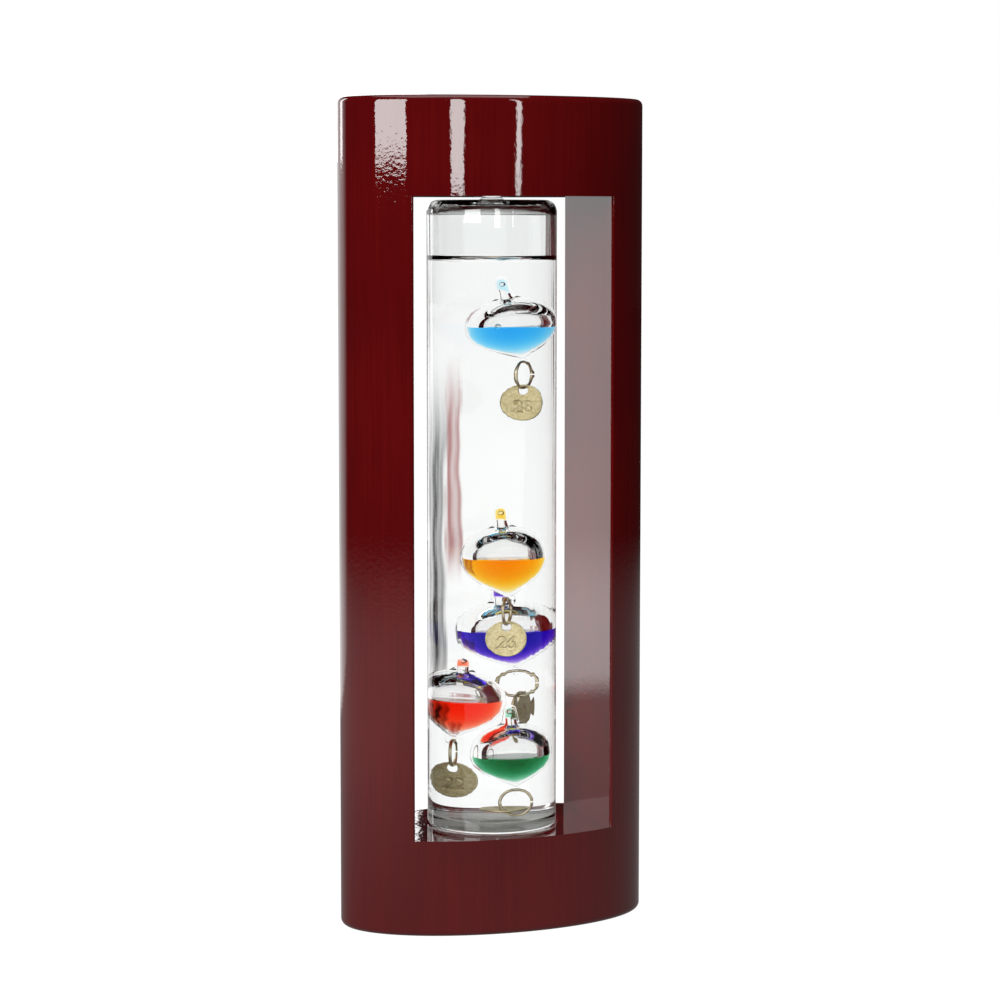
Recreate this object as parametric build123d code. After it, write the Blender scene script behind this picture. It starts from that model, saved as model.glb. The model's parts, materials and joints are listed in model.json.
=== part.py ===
from build123d import *
import os
from math import cos, radians, sin, sqrt

# Framed Galileo thermometer: a sealed glass tube of clear liquid with five weighted glass floats,
# standing in the window of a lacquered wooden frame of elliptical plan.
# Millimetres. X is the frame's long axis, Y its depth (front is -Y), Z is up from the table.

# frame
frame_width = 88.0
frame_depth = 49.0
overall_height = 230.0
rim_fillet = 1.8
window_fillet = 0.6
base_height = 26.9          # top of the base block above the table
head_height = 27.1          # height of the top block
window_width = 57.4

# felt under the base
felt_thickness = 1.2
felt_recess = 1.0
felt_inset = 3.0

# dowels between the stiles and the blocks
dowel_radius = 3.0
dowel_length = 26.0
dowel_chamfer = 0.6
dowel_end_gap = 1.0
dowel_outset = 5.4          # from the window's side to the dowel's axis
dowel_spacing = 15.0        # front dowel to back dowel

# tube
tube_radius = 18.1
tube_wall = 1.65
tube_floor_thickness = 3.2
tube_top_thickness = 2.0
tube_top_gap = 0.9          # tube's shoulder below the top block
tube_heel_radius = 1.6
tube_shoulder_radius = 3.2
tube_inner_radius_low = 2.2
tube_inner_radius_top = 2.4
seat_recess = 1.4
seat_pad_thickness = 0.9
seat_clearance = 0.3        # round the tube and inside its seat
tip_radius = 2.6
tip_length = 6.6
tip_bore_radius = 5.0
tip_bore_gap = 3.4          # above the tip
grommet_length = 4.8
liquid_depth = 155.4

# floats
bulb_wall = 0.9
neck_radius = 1.7
neck_bore = 1.2
thread_start = 0.15         # share of the nipple below the dye held in it
neck_taper = 0.1            # bore narrows by this at the nipple's end
tip_round = 1.35
bottom_round = 0.5
eye_major = 1.15
eye_minor = 0.45
eye_drop = 0.85             # eye's centre below the bulb's lowest point

# rings and tags
ring_major = 3.62
wire_radius = 0.375
ring_gap_deg = 6.0
hook_gap = 0.1              # between the eye and the ring
tag_radius = 5.0
tag_thickness = 0.45
tag_hole_radius = 1.15
tag_hole_offset = 3.35
tag_gap = 0.05              # between the wire and the hole's edge

# One row a float, from the top. centre is the bulb's widest level above the tube's floor, lean the way
# its lowest point stands off, heading the ring's plane from +X, swing the ring's rest angle,
# slant the tag's angle from plumb, fill the dye's level above the widest one.
floats = {
    "light_blue": dict(radius=9.8, rise=8.4, drop=8.8, nipple=6.0, centre=(3.96, -2.27, 137.4),
                       lean=(1.69, -0.61), heading=52.0, swing=0.0, slant=0.0, fill=-0.1),
    "yellow": dict(radius=9.8, rise=9.2, drop=10.9, nipple=5.6, centre=(1.04, -5.69, 73.4),
                   lean=(0.61, -0.86), heading=60.0, swing=46.0, slant=0.0, fill=-0.2),
    "dark_blue": dict(radius=9.2, rise=9.0, drop=10.2, nipple=4.5, centre=(4.12, 3.19, 51.8),
                      lean=(1.65, 0.47), heading=-30.0, swing=-5.0, slant=20.0, fill=0.2),
    "red": dict(radius=9.3, rise=9.1, drop=10.2, nipple=4.0, centre=(-6.04, 2.70, 32.5),
                lean=(-0.61, 0.96), heading=48.0, swing=0.0, slant=0.0, fill=0.2),
    "green": dict(radius=9.4, rise=9.4, drop=8.6, nipple=5.0, centre=(3.09, -5.36, 17.7),
                  lean=(0.46, -0.49), heading=-20.0, swing=0.0, slant=0.0, fill=-0.3),
}
float_bore = 16.45          # tube bore that the rows above fit; a narrower tube shrinks the floats
float_ring = 3.62           # ring that the rows' heights clear; a larger one lifts the floats
flat_tag = "green"          # this float's tag lies on the tube's floor
flat_tag_turn = 50.0        # where round its ring that tag is threaded, from the lowest point

# derived levels and radii
frame_bottom = felt_thickness - felt_recess
window_top = overall_height - head_height
tube_inner = tube_radius - tube_wall
tube_bottom = base_height - seat_recess + seat_pad_thickness
tube_floor = tube_bottom + tube_floor_thickness
tube_top = window_top - tube_top_gap
tube_ceiling = tube_top - tube_top_thickness
big = 2 * overall_height
float_scale = min(1.0, tube_inner / float_bore)
float_lift = max(0.0, 2 * (ring_major - float_ring))
for row in floats.values():
    for size in ("radius", "rise", "drop", "nipple"):
        row[size] *= float_scale
    row["lean"] = tuple(float_scale * value for value in row["lean"])


def save(name, shape):
    shape.label = name
    export_step(shape, "parts/" + name + ".step")


def turned(edges):
    """Solid of revolution about Z from profile edges in the XZ plane."""
    return revolve(Face(Wire(edges)), axis=Axis.Z)


def line(a, b):
    return Edge.make_line((a[0], 0, a[1]), (b[0], 0, b[1]))


def curve(*points):
    return Edge.make_bezier(*[(r, 0, z) for r, z in points])


def quarter(a, corner, b):
    """Rounded corner from a to b: a quarter of a circle bulging towards corner."""
    k = 1 - sqrt(0.5)
    middle = [corner[i] + (a[i] + b[i] - 2 * corner[i]) * k for i in (0, 1)]
    return Edge.make_three_point_arc((a[0], 0, a[1]), (middle[0], 0, middle[1]), (b[0], 0, b[1]))


def slab(bottom, top):
    return Pos(0, 0, (bottom + top) / 2) * Box(big, big, top - bottom)


def rod(radius, x, y, bottom, top):
    return Pos(x, y, (bottom + top) / 2) * Cylinder(radius, top - bottom)


# wooden frame

def frame_body():
    """Elliptical column with its rims rounded, before it is split into its blocks."""
    height = overall_height - frame_bottom
    body = Pos(0, 0, frame_bottom) * extrude(Ellipse(frame_width / 2, frame_depth / 2), amount=height)
    body = fillet([e for e in body.edges() if e.bounding_box().size.Z < 0.01], rim_fillet)
    return body


def dowel_places():
    x = window_width / 2 + dowel_outset
    for level in (base_height, window_top):
        for side in (-1, 1):
            for face in (-1, 1):
                yield side * x, face * dowel_spacing / 2, level


def dowel_holes():
    half = dowel_length / 2 + dowel_end_gap
    return [rod(dowel_radius, x, y, z - half, z + half) for x, y, z in dowel_places()]


def dowels():
    made = []
    for x, y, z in dowel_places():
        pin = rod(dowel_radius, x, y, z - dowel_length / 2, z + dowel_length / 2)
        made.append(chamfer(pin.edges().filter_by(GeomType.CIRCLE), dowel_chamfer))
    return Compound(children=made)


def felt_outline(clearance):
    inset = felt_inset - clearance
    return Ellipse(frame_width / 2 - inset, frame_depth / 2 - inset)


def base_block(body):
    block = body & slab(frame_bottom, base_height)
    block -= rod(tube_radius + seat_clearance, 0, 0, base_height - seat_recess, base_height + 1)
    return block - extrude(felt_outline(0), amount=felt_thickness)


def top_block(body):
    block = body & slab(window_top, overall_height)
    bore_top = tube_top + tip_length + tip_bore_gap
    return block - rod(tip_bore_radius, 0, 0, window_top - 1, bore_top)


def left_stile(body):
    """Upright beside the window, with the two long edges of its inner face eased."""
    block = body & slab(base_height, window_top)
    block &= Pos(-(window_width + big) / 2, 0, 0) * Box(big, big, big)
    inner = [e for e in block.edges()
             if e.bounding_box().size.Z > window_top - base_height - 0.1
             and e.bounding_box().max.X > -window_width / 2 - 0.1]
    return fillet(inner, window_fillet)


# tube and its fittings

def tube_inside(top, top_round):
    """Space inside the tube from its floor up to a level."""
    r, low = tube_inner, tube_inner_radius_low
    edges = [line((0, top), (0, tube_floor)), line((0, tube_floor), (r - low, tube_floor)),
             quarter((r - low, tube_floor), (r, tube_floor), (r, tube_floor + low)),
             line((r, tube_floor + low), (r, top - top_round))]
    if top_round:
        edges.append(quarter((r, top - top_round), (r, top), (r - top_round, top)))
    edges.append(line((r - top_round, top), (0, top)))
    return turned(edges)


def glass_tube():
    """Tube with a thick floor, a rounded shoulder and the sealed tip it was filled through."""
    r, heel, shoulder = tube_radius, tube_heel_radius, tube_shoulder_radius
    tip_top = tube_top + tip_length
    straight = tip_top - tip_radius
    edges = [
        line((0, tip_top), (0, tube_bottom)),
        line((0, tube_bottom), (r - heel, tube_bottom)),
        quarter((r - heel, tube_bottom), (r, tube_bottom), (r, tube_bottom + heel)),
        line((r, tube_bottom + heel), (r, tube_top - shoulder)),
        quarter((r, tube_top - shoulder), (r, tube_top), (r - shoulder, tube_top)),
        line((r - shoulder, tube_top), (tip_radius, tube_top)),
        line((tip_radius, tube_top), (tip_radius, straight)),
        quarter((tip_radius, straight), (tip_radius, tip_top), (0, tip_top)),
    ]
    return turned(edges) - tube_inside(tube_ceiling, tube_inner_radius_top)


def tube_seat_pad():
    bottom = base_height - seat_recess
    return rod(tube_radius - tube_heel_radius, 0, 0, bottom, tube_bottom)


def tip_grommet():
    bottom = window_top
    ring = rod(tip_bore_radius, 0, 0, bottom, bottom + grommet_length)
    return ring - rod(tip_radius, 0, 0, bottom - 1, bottom + grommet_length + 1)


# floats

def bulb_profile(radius, rise, drop, nipple, low_end, neck, tip):
    """Onion outline on its own axis, widest level at 0: pointed below, domed above, with a nipple."""
    top = rise + nipple
    shoulder = (0.32 * radius, 0.93 * rise)
    return [
        line((0, top), (0, -drop)),
        line((0, -drop), (low_end, -drop)),
        curve((low_end, -drop), (0.52 * radius, -0.70 * drop), (radius, -0.46 * drop), (radius, 0)),
        curve((radius, 0), (radius, 0.50 * rise), (0.72 * radius, 0.80 * rise), shoulder),
        curve(shoulder, (0.5 * (shoulder[0] + neck), 0.98 * rise), (neck, rise),
              (neck, rise + 0.25 * nipple)),
        line((neck, rise + 0.25 * nipple), (tip, top - tip)),
        quarter((tip, top - tip), (tip, top), (0, top)),
    ]


def bulb_outer(row):
    return turned(bulb_profile(row["radius"], row["rise"], row["drop"], row["nipple"],
                               bottom_round, neck_radius, tip_round))


def bulb_inner(row):
    return turned(bulb_profile(row["radius"] - bulb_wall, row["rise"] - bulb_wall,
                               row["drop"] - 1.4 * bulb_wall, row["nipple"],
                               bottom_round, neck_bore, neck_bore - neck_taper))


def leaned(shape, row):
    """Tilt a shape made on the bulb's axis so its low end leans, and stand it at its place."""
    dx, dy = row["lean"]
    reach = sqrt(dx * dx + dy * dy)
    angle = Vector(0, 0, -1).get_angle(Vector(dx, dy, -sqrt(row["drop"] ** 2 - reach ** 2)))
    tilted = shape.rotate(Axis((0, 0, 0), (dy, -dx, 0)), angle)
    return Pos(*bulb_centre(row)) * tilted


def bulb_centre(row):
    x, y, z = row["centre"]
    return x * float_scale, y * float_scale, z + float_lift + tube_floor


def low_point(row):
    """The bulb's lowest point, where its eye is fused on."""
    x, y, z = bulb_centre(row)
    dx, dy = row["lean"]
    return x + dx, y + dy, z - sqrt(row["drop"] ** 2 - dx * dx - dy * dy)


def eye_centre(row):
    x, y, z = low_point(row)
    return x, y, z - eye_drop


def along(row):
    """Level direction in the ring's plane."""
    return cos(radians(row["heading"])), sin(radians(row["heading"]))


def across(row):
    """Level direction square to the ring's plane: the ring swings about it."""
    return -sin(radians(row["heading"])), cos(radians(row["heading"]))


def bar_centre(row):
    """Middle of the eye's lowest bar, which the ring hangs on and swings about."""
    x, y, z = eye_centre(row)
    return x, y, z - eye_major


def ring_centre(row):
    x, y, z = bar_centre(row)
    hang = ring_major - (wire_radius + eye_minor + hook_gap)
    a, b = along(row)
    side = -hang * sin(radians(row["swing"]))
    return x + a * side, y + b * side, z - hang * cos(radians(row["swing"]))


def hole_point(name, row):
    """Point of the ring's wire that the tag hangs on."""
    turn = radians(flat_tag_turn) if name == flat_tag else 0.0
    x, y, z = ring_centre(row)
    a, b = along(row)
    side = -ring_major * sin(turn)
    return x + a * side, y + b * side, z - ring_major * cos(turn)


def upright_ring(major, minor, row, arc=360.0, start=0.0):
    """Torus standing in the ring's plane, or square to it for the eye."""
    return Rot(0, 0, row["heading"]) * Rot(90, 0, 0) * Rot(0, 0, start) * Torus(major, minor, major_angle=arc)


def bulb(row):
    """Blown glass float with the glass eye fused to its lowest point."""
    shell = leaned(bulb_outer(row), row)
    eye = Rot(0, 0, 90) * upright_ring(eye_major, eye_minor, dict(heading=0.0))
    eye = Pos(*eye_centre(row)) * Rot(0, 0, row["heading"]) * eye
    return shell + eye, leaned(bulb_inner(row), row)


def dye(row, cavity):
    """Coloured liquid lying level in the bulb, and the drop held in its nipple."""
    level = bulb_centre(row)[2] + row["fill"]
    pool = cavity & slab(0, level)
    drop_start = row["rise"] + thread_start * row["nipple"]
    plug = cavity & leaned(slab(drop_start, big), row)
    return Compound(children=[pool, plug])


def ring(row):
    """Jump ring through the eye, its cut at one side."""
    arc = 360.0 - ring_gap_deg
    return Pos(*ring_centre(row)) * upright_ring(ring_major, wire_radius, row, arc, ring_gap_deg / 2)


def tag_blank():
    """Disc standing in the YZ plane, hung from a wire along X at the origin."""
    hang = tag_hole_offset + tag_hole_radius - wire_radius - tag_gap
    disc = Cylinder(tag_radius, tag_thickness)
    disc -= Pos(tag_hole_offset, 0, 0) * Cylinder(tag_hole_radius, 3 * tag_thickness)
    return Pos(0, 0, -hang) * Rot(0, -90, 0) * disc


def tag(name, row):
    if name == flat_tag:
        disc = Cylinder(tag_radius, tag_thickness)
        disc -= Pos(tag_hole_offset, 0, 0) * Cylinder(tag_hole_radius, 3 * tag_thickness)
        disc = Rot(0, 0, 270) * Pos(-tag_hole_offset, 0, 0) * disc
    else:
        disc = Rot(row["slant"], 0, 0) * tag_blank()
    return Pos(*hole_point(name, row)) * Rot(0, 0, row["heading"]) * disc


os.makedirs("parts", exist_ok=True)

body = frame_body()
holes = dowel_holes()
save("base_block", base_block(body) - holes)
save("top_block", top_block(body) - holes)
upright = left_stile(body) - holes
save("left_stile", upright)
save("right_stile", mirror(upright, about=Plane.YZ))
save("frame_dowels", dowels())
save("base_felt_pad", extrude(felt_outline(0), amount=felt_thickness))
save("tube_seat_pad", tube_seat_pad())
save("tip_grommet", tip_grommet())
save("glass_tube", glass_tube())

clear_liquid = tube_inside(tube_floor + liquid_depth, 0)
for name, row in floats.items():
    outside, cavity = bulb(row)
    hoop = ring(row)
    disc = tag(name, row)
    save(name + "_bulb", outside - cavity)
    save(name + "_dye", dye(row, cavity))
    save(name + "_ring", hoop)
    save(name + "_tag", disc)
    clear_liquid -= [outside, hoop, disc]
save("clear_liquid", clear_liquid)
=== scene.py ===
import math
import json
import bmesh
import bpy
import numpy as np
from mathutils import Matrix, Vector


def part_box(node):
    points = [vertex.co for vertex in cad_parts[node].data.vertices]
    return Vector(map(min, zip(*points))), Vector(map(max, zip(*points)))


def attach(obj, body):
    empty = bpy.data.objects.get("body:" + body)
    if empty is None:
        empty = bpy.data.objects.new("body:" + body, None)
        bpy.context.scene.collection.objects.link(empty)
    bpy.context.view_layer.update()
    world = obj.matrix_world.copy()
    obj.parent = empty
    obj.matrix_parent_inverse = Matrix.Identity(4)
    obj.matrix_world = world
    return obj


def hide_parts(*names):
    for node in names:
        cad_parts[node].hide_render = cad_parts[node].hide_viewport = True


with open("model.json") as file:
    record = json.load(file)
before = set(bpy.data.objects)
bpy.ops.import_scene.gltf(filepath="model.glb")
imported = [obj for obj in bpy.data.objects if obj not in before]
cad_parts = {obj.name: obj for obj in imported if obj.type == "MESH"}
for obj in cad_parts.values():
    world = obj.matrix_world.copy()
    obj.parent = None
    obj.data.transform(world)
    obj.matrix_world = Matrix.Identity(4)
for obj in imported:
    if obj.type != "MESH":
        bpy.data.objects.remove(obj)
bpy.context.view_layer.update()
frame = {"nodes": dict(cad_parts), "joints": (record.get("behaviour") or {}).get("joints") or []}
nodes = frame["nodes"]
joints = {joint["name"]: joint for joint in frame["joints"]}
mm = 0.001
floatNames = ["light_blue", "yellow", "dark_blue", "red", "green"]


# ---- small tools ----

def linear(hexColor):
    # sRGB hex to linear light: each channel through the sRGB curve
    channels = [int(hexColor[i:i + 2], 16) / 255 for i in (1, 3, 5)]
    return tuple(c / 12.92 if c <= 0.04045 else ((c + 0.055) / 1.055) ** 2.4 for c in channels) + (1,)


def addNode(tree, kind, links=None, **settings):
    # adds one node: settings named after a property set it, others set the input of that name;
    # links maps an input's name to an output socket
    node = tree.nodes.new(kind)
    for key, value in settings.items():
        if hasattr(node, key):
            setattr(node, key, value)
        else:
            node.inputs[key.replace("_", " ")].default_value = value
    for key, socket in (links or {}).items():
        tree.links.new(socket, node.inputs[key])
    return node


def newMaterial(name):
    material = bpy.data.materials.new(name)
    material.use_nodes = True
    material.node_tree.nodes.clear()
    return material, material.node_tree


def finishMaterial(tree, surface, volume=None):
    output = addNode(tree, "ShaderNodeOutputMaterial", links={"Surface": surface})
    if volume:
        tree.links.new(volume, output.inputs["Volume"])


def setRamp(node, stops):
    ramp = node.color_ramp
    while len(ramp.elements) < len(stops):
        ramp.elements.new(0.5)
    for element, (place, color) in zip(ramp.elements, stops):
        element.position = place
        element.color = linear(color)


def gridFaces(rows, columns, start=0, closedRows=False):
    # quads of a grid whose columns wrap round; they face outward where the rows climb the outside
    r = np.arange(rows if closedRows else rows - 1)[:, None]
    c = np.arange(columns)[None, :]
    nextRow = (r + 1) % rows
    nextColumn = (c + 1) % columns
    quads = np.stack([r * columns + c, r * columns + nextColumn, nextRow * columns + nextColumn,
                      nextRow * columns + c], axis=-1)
    return start + quads.reshape(-1, 4)


def makePiece(name, body, points, faces, materials, slots, replaces):
    # one mesh from an array of quads; points that coincide, as they do at a pole, are merged
    mesh = bpy.data.meshes.new(name)
    mesh.from_pydata(points.reshape(-1, 3), [], faces)
    for material in materials:
        mesh.materials.append(material)
    if slots is not None:
        mesh.polygons.foreach_set("material_index", slots)
    mesh.polygons.foreach_set("use_smooth", np.full(len(mesh.polygons), True))
    piece = bpy.data.objects.new(name, mesh)
    bpy.context.scene.collection.objects.link(piece)
    bm = bmesh.new()
    bm.from_mesh(mesh)
    bmesh.ops.remove_doubles(bm, verts=bm.verts, dist=1e-7)
    bmesh.ops.dissolve_degenerate(bm, edges=bm.edges, dist=1e-8)
    bm.to_mesh(mesh)
    bm.free()
    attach(piece, body)
    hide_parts(*replaces)


def bezier(p0, p1, p2, p3, count):
    # cubic through four control points, as count points without the last
    t = np.linspace(0, 1, count, endpoint=False)[:, None]
    p0, p1, p2, p3 = map(np.array, (p0, p1, p2, p3))
    return (1 - t) ** 3 * p0 + 3 * (1 - t) ** 2 * t * p1 + 3 * (1 - t) * t ** 2 * p2 + t ** 3 * p3


def straight(a, b, count):
    # line from a to b as count points without the last: a (1 - t) + b t
    t = np.linspace(0, 1, count, endpoint=False)[:, None]
    return np.array(a) * (1 - t) + np.array(b) * t


def quarterTurn(center, radius, startDeg, endDeg, count):
    # arc of a circle, count points without the last: x = x0 + r cos t, z = z0 + r sin t
    t = np.radians(np.linspace(startDeg, endDeg, count, endpoint=False))
    return np.stack([center[0] + radius * np.cos(t), center[1] + radius * np.sin(t)], axis=1)


def revolve(profile, columns):
    # each profile point (r, z) carried round Z: x = r cos a, y = r sin a
    a = np.linspace(0, 2 * np.pi, columns, endpoint=False)
    r, z = profile[:, 0][:, None], profile[:, 1][:, None]
    return np.stack([r * np.cos(a), r * np.sin(a), z + 0 * a], axis=-1)


def softStep(x):
    # 3x^2 - 2x^3 between 0 and 1
    x = np.clip(x, 0, 1)
    return x * x * (3 - 2 * x)


# ---- materials ----

def glassMaterial(name, ior, tint="#FFFFFF", absorb=None, density=0.0, streaks=None):
    # clear body: ior is that of the inside over what it touches; absorb and density dye it, and streaks
    # is the depth of its draw lines in metres; light from a lamp goes straight through to the inside
    material, tree = newMaterial(name)
    glass = addNode(tree, "ShaderNodeBsdfPrincipled", Base_Color=linear(tint), Roughness=0.0, IOR=ior,
                    Transmission_Weight=1.0)
    if streaks:
        place = addNode(tree, "ShaderNodeTexCoord")
        drawn = addNode(tree, "ShaderNodeMapping", links={"Vector": place.outputs["Object"]}, Scale=(420,
                                                                                                     420,
                                                                                                     14))
        noise = addNode(tree, "ShaderNodeTexNoise", links={"Vector": drawn.outputs[0]}, Scale=1.0,
                        Detail=1.0)
        bump = addNode(tree, "ShaderNodeBump", links={"Height": noise.outputs["Fac"]}, Strength=1.0,
                       Distance=streaks)
        tree.links.new(bump.outputs[0], glass.inputs["Normal"])
    path = addNode(tree, "ShaderNodeLightPath")
    through = addNode(tree, "ShaderNodeBsdfTransparent", Color=(1, 1, 1, 1))
    shader = addNode(tree, "ShaderNodeMixShader", links={0: path.outputs["Is Shadow Ray"],
                                                         1: glass.outputs[0],
                                                         2: through.outputs[0]})
    volume = None
    if absorb:
        volume = addNode(tree, "ShaderNodeVolumeAbsorption", Color=absorb, Density=density).outputs[0]
    finishMaterial(tree, shader.outputs[0], volume)
    return material


def contactMaterial(name):
    # where a liquid wets a wall of its own index the eye sees nothing
    material, tree = newMaterial(name)
    shader = addNode(tree, "ShaderNodeBsdfTransparent", Color=(1, 1, 1, 1))
    finishMaterial(tree, shader.outputs[0])
    return material


tubeGlass = glassMaterial("drawnGlassTube", 1.50, "#FAFCFB", streaks=0.00010)   # 2.4 mm wide draw lines
wettedTubeGlass = glassMaterial("drawnGlassWetted", 1.045)
liquidTop = glassMaterial("clearOilSurface", 1.43)
liquidContact = contactMaterial("clearOilContact")
bulbGlass = glassMaterial("blownGlassWetted", 1.045)
bulbAirWall = glassMaterial("blownGlassToAir", 1.50)
dyeTop = glassMaterial("dyedOilSurface", 1.43)
bubbleWall = glassMaterial("airBubbleWall", 1.43)

# dyed oils: share of each channel let through, and how fast (per metre) the rest is taken up
dyeSettings = {
    "light_blue": dict(color=(0.00, 0.747, 0.985), density=200, thread=1.2),
    "yellow": dict(color=(0.996, 0.81, 0.00), density=430, thread=2.6),
    "dark_blue": dict(color=(0.306, 0.00, 0.842), density=520, thread=2.6),
    "red": dict(color=(0.986, 0.27, 0.00), density=360, thread=3.0),
    "green": dict(color=(0.00, 0.636, 0.368), density=390, thread=1.4),
}
dyes = {name: glassMaterial(name.replace("_", "") + "DyedOil", 1.01, absorb=row["color"] + (1,),
                            density=row["density"]) for name, row in dyeSettings.items()}
# the thread of dye held in the nipple is thin, and reads as deep as the pool only when it is stronger
threads = {name: glassMaterial(name.replace("_", "") + "DyedThread", 1.01, absorb=row["color"] + (1,),
                               density=row["density"] * row["thread"]) for name, row in dyeSettings.items()}


def lacquerMaterial(name):
    # cherry stain under polyester gloss lacquer: deep red-brown, faint long grain, a wet mirror coat
    # with the slight orange peel of a sprayed film
    material, tree = newMaterial(name)
    place = addNode(tree, "ShaderNodeTexCoord")
    stretch = addNode(tree, "ShaderNodeMapping", links={"Vector": place.outputs["Object"]},
                      Scale=(900, 900, 26))     # grain about 1 mm wide, 40 mm long
    grain = addNode(tree, "ShaderNodeTexNoise", links={"Vector": stretch.outputs[0]}, Scale=1.0, Detail=4.0,
                    Roughness=0.6)
    wide = addNode(tree, "ShaderNodeTexNoise", links={"Vector": place.outputs["Object"]}, Scale=22.0,
                   Detail=2.0)
    both = addNode(tree, "ShaderNodeMath", operation="MULTIPLY_ADD",
                   links={0: grain.outputs["Fac"], 2: wide.outputs["Fac"]})
    both.inputs[1].default_value = 0.7
    ramp = addNode(tree, "ShaderNodeValToRGB", links={"Fac": both.outputs[0]})
    setRamp(ramp, [(0.45, "#460405"), (0.85, "#500507"), (1.0, "#560708")])
    peel = addNode(tree, "ShaderNodeTexNoise", links={"Vector": place.outputs["Object"]}, Scale=900.0,
                   Detail=2.0)
    along = addNode(tree, "ShaderNodeMapping", links={"Vector": place.outputs["Object"]}, Scale=(170, 170,
                                                                                                 30))
    slow = addNode(tree, "ShaderNodeTexNoise", links={"Vector": along.outputs[0]}, Scale=1.0, Detail=2.0)
    waves = addNode(tree, "ShaderNodeBump", links={"Height": slow.outputs["Fac"]}, Strength=0.25,
                    Distance=0.0001)
    ripple = addNode(tree, "ShaderNodeBump", links={"Height": peel.outputs["Fac"],
                                                    "Normal": waves.outputs[0]},
                     Strength=0.35, Distance=0.00003)
    shader = addNode(tree, "ShaderNodeBsdfPrincipled", links={"Base Color": ramp.outputs[0],
                                                              "Coat Normal": ripple.outputs[0]},
                     Roughness=0.45, IOR=1.5, Coat_Weight=1.0, Coat_Roughness=0.02, Coat_IOR=1.55)
    shader.inputs["Specular IOR Level"].default_value = 0.0
    finishMaterial(tree, shader.outputs[0])
    return material


def metalMaterial(name, color, dark, roughness, scale):
    # thin plated metal: pale gold, a little uneven from stamping and tumbling
    material, tree = newMaterial(name)
    place = addNode(tree, "ShaderNodeTexCoord")
    noise = addNode(tree, "ShaderNodeTexNoise", links={"Vector": place.outputs["Object"]}, Scale=scale,
                    Detail=4.0)
    ramp = addNode(tree, "ShaderNodeValToRGB", links={"Fac": noise.outputs["Fac"]})
    setRamp(ramp, [(0.3, dark), (0.7, color)])
    rough = addNode(tree, "ShaderNodeMapRange", links={"Value": noise.outputs["Fac"]})
    rough.inputs["To Min"].default_value = roughness + 0.1
    rough.inputs["To Max"].default_value = roughness - 0.05
    bump = addNode(tree, "ShaderNodeBump", links={"Height": noise.outputs["Fac"]}, Strength=0.3,
                   Distance=0.00002)
    shader = addNode(tree, "ShaderNodeBsdfPrincipled", links={"Base Color": ramp.outputs[0],
                     "Roughness": rough.outputs[0], "Normal": bump.outputs[0]}, Metallic=1.0)
    finishMaterial(tree, shader.outputs[0])
    return material


def softMaterial(name, colors, roughness, scale, stretch=(1, 1, 1), bumpDepth=0.0001, sheen=0.0):
    # two colours mottled by noise of a real size, with a matching bump
    material, tree = newMaterial(name)
    place = addNode(tree, "ShaderNodeTexCoord")
    turned = addNode(tree, "ShaderNodeMapping", links={"Vector": place.outputs["Object"]}, Scale=stretch)
    noise = addNode(tree, "ShaderNodeTexNoise", links={"Vector": turned.outputs[0]}, Scale=scale,
                    Detail=5.0)
    ramp = addNode(tree, "ShaderNodeValToRGB", links={"Fac": noise.outputs["Fac"]})
    setRamp(ramp, [(0.35, colors[0]), (0.65, colors[1])])
    bump = addNode(tree, "ShaderNodeBump", links={"Height": noise.outputs["Fac"]}, Strength=0.5,
                   Distance=bumpDepth)
    shader = addNode(tree, "ShaderNodeBsdfPrincipled", links={"Base Color": ramp.outputs[0],
                     "Normal": bump.outputs[0]}, Roughness=roughness, Sheen_Weight=sheen)
    finishMaterial(tree, shader.outputs[0])
    return material


lacquer = lacquerMaterial("cherryLacqueredWood")
beech = softMaterial("turnedBeech", ("#A97B4C", "#C59A67"), 0.6, 700.0, (1, 1, 0.08))
feltPile = softMaterial("pressedFelt", ("#0C0C0D", "#232325"), 0.95, 1800.0, bumpDepth=0.0002, sheen=0.4)
silicone = softMaterial("mouldedSilicone", ("#CFCFCB", "#DEDEDA"), 0.45, 300.0, bumpDepth=0.00002)
wireMetal = metalMaterial("platedSteelWire", "#D2C8AE", "#A4977A", 0.22, 900.0)
tagMetal = metalMaterial("stampedPaleBrass", "#ADA384", "#8E835C", 0.5, 1500.0)
print("materials made")


# ---- wooden frame: the CAD blocks with their lacquer ----

def dress(node, material):
    mesh = nodes[node].data
    mesh.materials.clear()
    mesh.materials.append(material)


for block in ("base_block", "top_block", "left_stile", "right_stile"):
    dress(block, lacquer)
dress("frame_dowels", beech)
dress("base_felt_pad", feltPile)
dress("tube_seat_pad", silicone)
dress("tip_grommet", silicone)
for name in floatNames:
    dress(name + "_ring", wireMetal)
print("frame dressed")


# ---- glass tube and clear liquid ----

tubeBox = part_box("glass_tube")
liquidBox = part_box("clear_liquid")
topGap = 0.9 * mm       # from the top of the tube to the top block
tube = {
    "radius": tubeBox[1][0],
    "inner": liquidBox[1][0],
    "bottom": tubeBox[0][2],
    "floor": liquidBox[0][2],
    "level": liquidBox[1][2],
    "top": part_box("top_block")[0][2] - topGap,
    "tipTop": tubeBox[1][2],
    "tipRadius": 2.6 * mm,
    "topWall": 2.0 * mm,
    "heel": 1.6 * mm,
    "shoulder": 3.2 * mm,
    "innerLow": 2.2 * mm,
    "innerTop": 2.4 * mm,
    "meniscusRise": 1.7 * mm,
    "meniscusReach": 1.7 * mm,
    "neckRound": 1.4 * mm,
    "liquidGap": 0.01 * mm,
    "surfacePower": 1.6,        # crowds the liquid's top rows towards the wall
    "columns": 256,
    "steps": dict(floor=14, heel=10, side=30, shoulder=12, lid=10, neck=8, tip=4, cap=8, middle=12,
                  corner=10,
                  dryWall=6, surface=60),
}


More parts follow.
